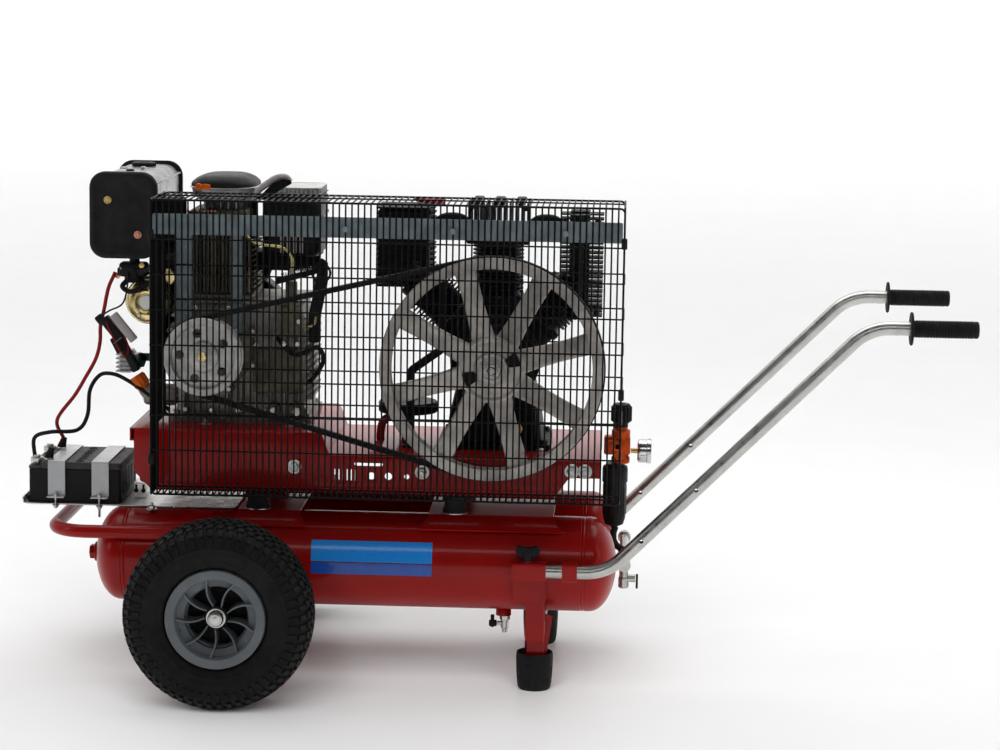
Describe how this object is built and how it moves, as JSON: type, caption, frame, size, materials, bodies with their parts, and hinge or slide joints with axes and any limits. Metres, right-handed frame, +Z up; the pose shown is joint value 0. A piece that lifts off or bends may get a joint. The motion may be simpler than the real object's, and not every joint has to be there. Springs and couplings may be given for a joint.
{
  "type": "wheelbarrow air compressor",
  "caption": "Engine-driven portable air compressor: belt-driven piston pump in a wire guard over twin tanks, with wheels, rubber feet and two clamped wheelbarrow handles.",
  "frame": {"origin": "on the ground, under the centre of the whole machine's bounding box", "axes": "+X runs from the battery tray to the handles (the machine's length), +Z is up, -Y is the belt side"},
  "size_m": [1.661, 0.826, 0.891],
  "materials": {
    "red_paint": "glossy",
    "tyre_rubber": "matt",
    "black_rubber": "satin",
    "rim_plastic": "satin",
    "zinc_steel": "zinc plated",
    "black_plastic": "satin",
    "black_metal": "satin",
    "cast_black": "painted black",
    "cast_aluminium": "as cast",
    "wheel_casting": "machined casting",
    "bright_steel": "ground",
    "grey_steel": "satin",
    "tank_silver": "satin silver",
    "tray_aluminium": "mill finish",
    "zinc_yellow": "yellow zinc plated",
    "orange_plastic": "satin",
    "regulator_orange": "painted orange",
    "chrome": "bright"
  },
  "bodies": {
    "chassis": {"left_tank": "red_paint", "right_tank": "red_paint", "axle_cradle": "red_paint", "leg_cradle": "red_paint", "bumper_tube": "red_paint", "base_frame": "red_paint", "left_foot": "black_rubber", "right_foot": "black_rubber", "damper_front_left": "black_rubber", "damper_front_right": "black_rubber", "damper_rear_left": "black_rubber", "damper_rear_right": "black_rubber", "v_belt": "black_rubber", "outlet_manifold": "zinc_steel", "drain_cock": "zinc_steel", "battery": "black_plastic", "air_cleaner": "black_plastic", "filter_bowl": "black_plastic", "intake_filter": "black_plastic", "fuel_tank_cover_left": "black_metal", "fuel_tank_cover_right": "black_metal", "muffler": "black_metal", "recoil_housing": "black_metal", "guard_cage": "black_metal", "pump_crankcase": "cast_black", "pump_cylinder_left": "cast_black", "pump_cylinder_centre": "cast_black", "pump_cylinder_right": "cast_black", "delivery_pipe": "cast_black", "engine_block": "cast_aluminium", "engine_cylinder": "cast_aluminium", "guard_bar": "grey_steel", "fuel_tank": "tank_silver", "battery_tray": "tray_aluminium", "battery_strap_1": "tray_aluminium", "battery_strap_2": "tray_aluminium", "starter_motor": "zinc_yellow", "pressure_regulator": "regulator_orange", "gauge": "chrome"},
    "left_wheel": {"left_tyre": "tyre_rubber", "left_rim": "rim_plastic"},
    "right_wheel": {"right_tyre": "tyre_rubber", "right_rim": "rim_plastic"},
    "pump_drive": {"pump_flywheel": "wheel_casting", "pump_crankshaft": "bright_steel"},
    "engine_drive": {"engine_pulley": "cast_aluminium", "engine_crankshaft": "bright_steel"},
    "left_handle": {"left_handle_tube": "zinc_steel", "left_grip": "black_rubber"},
    "right_handle": {"right_handle_tube": "zinc_steel", "right_grip": "black_rubber"},
    "left_knob": {"left_clamp_knob": "black_plastic"},
    "right_knob": {"right_clamp_knob": "black_plastic"},
    "regulator_adjuster": {"regulator_knob": "black_plastic"},
    "gauge_pointer": {"gauge_needle": "black_plastic"},
    "drain_tap": {"drain_lever": "black_plastic"},
    "outlet_tap": {"outlet_lever": "chrome"},
    "decompressor": {"decompression_lever": "orange_plastic"},
    "fuel_filler": {"fuel_cap": "black_plastic"},
    "recoil_pull": {"recoil_grip": "black_plastic"}
  },
  "joints": [
    {"name": "left_wheel_spin", "type": "hinge", "parent": "chassis", "child": "left_wheel", "pos_m": [-0.4465, -0.352, 0.163], "axis": [0, 1, 0], "continuous": true},
    {"name": "right_wheel_spin", "type": "hinge", "parent": "chassis", "child": "right_wheel", "pos_m": [-0.4465, 0.352, 0.163], "axis": [0, 1, 0], "continuous": true},
    {"name": "pump_spin", "type": "hinge", "parent": "chassis", "child": "pump_drive", "pos_m": [0.0025, -0.186, 0.568], "axis": [0, 1, 0], "continuous": true},
    {"name": "engine_spin", "type": "hinge", "parent": "chassis", "child": "engine_drive", "pos_m": [-0.4985, -0.186, 0.579], "axis": [0, 1, 0], "continuous": true},
    {"name": "left_handle_slide", "type": "slide", "parent": "chassis", "child": "left_handle", "axis": [1, 0, 0], "range_m": [-0.012, 0.11]},
    {"name": "right_handle_slide", "type": "slide", "parent": "chassis", "child": "right_handle", "axis": [1, 0, 0], "range_m": [-0.012, 0.11]},
    {"name": "left_knob_turn", "type": "hinge", "parent": "chassis", "child": "left_knob", "pos_m": [0.0715, -0.224, 0.25], "axis": [0, 0, 1], "range_deg": [-360, 360]},
    {"name": "right_knob_turn", "type": "hinge", "parent": "chassis", "child": "right_knob", "pos_m": [0.0715, 0.224, 0.25], "axis": [0, 0, 1], "range_deg": [-360, 360]},
    {"name": "regulator_turn", "type": "hinge", "parent": "chassis", "child": "regulator_adjuster", "pos_m": [0.228, -0.02, 0.465], "axis": [0, 0, 1], "range_deg": [-360, 360]},
    {"name": "gauge_pointer_turn", "type": "hinge", "parent": "chassis", "child": "gauge_pointer", "pos_m": [0.2803, -0.02, 0.402], "axis": [1, 0, 0], "range_deg": [-270, 0]},
    {"name": "drain_tap_turn", "type": "hinge", "parent": "chassis", "child": "drain_tap", "pos_m": [0.0095, -0.12, 0.103], "axis": [1, 0, 0], "range_deg": [0, 90]},
    {"name": "outlet_tap_turn", "type": "hinge", "parent": "chassis", "child": "outlet_tap", "pos_m": [0.2625, -0.02, 0.168], "axis": [1, 0, 0], "range_deg": [0, 90]},
    {"name": "decompression_turn", "type": "hinge", "parent": "chassis", "child": "decompressor", "pos_m": [-0.5245, -0.076, 0.864], "axis": [0, 1, 0], "range_deg": [-40, 40]},
    {"name": "fuel_cap_turn", "type": "hinge", "parent": "chassis", "child": "fuel_filler", "pos_m": [-0.6545, 0.12, 0.885], "axis": [0, 0, 1], "range_deg": [-90, 90]},
    {"name": "recoil_pull_out", "type": "slide", "parent": "chassis", "child": "recoil_pull", "axis": [0.5, 0, 0.866], "range_m": [0, 0.5]}
  ],
  "couplings": [
    {"joint": "engine_spin", "follows": "pump_spin", "ratio": 2.9372}
  ]
}
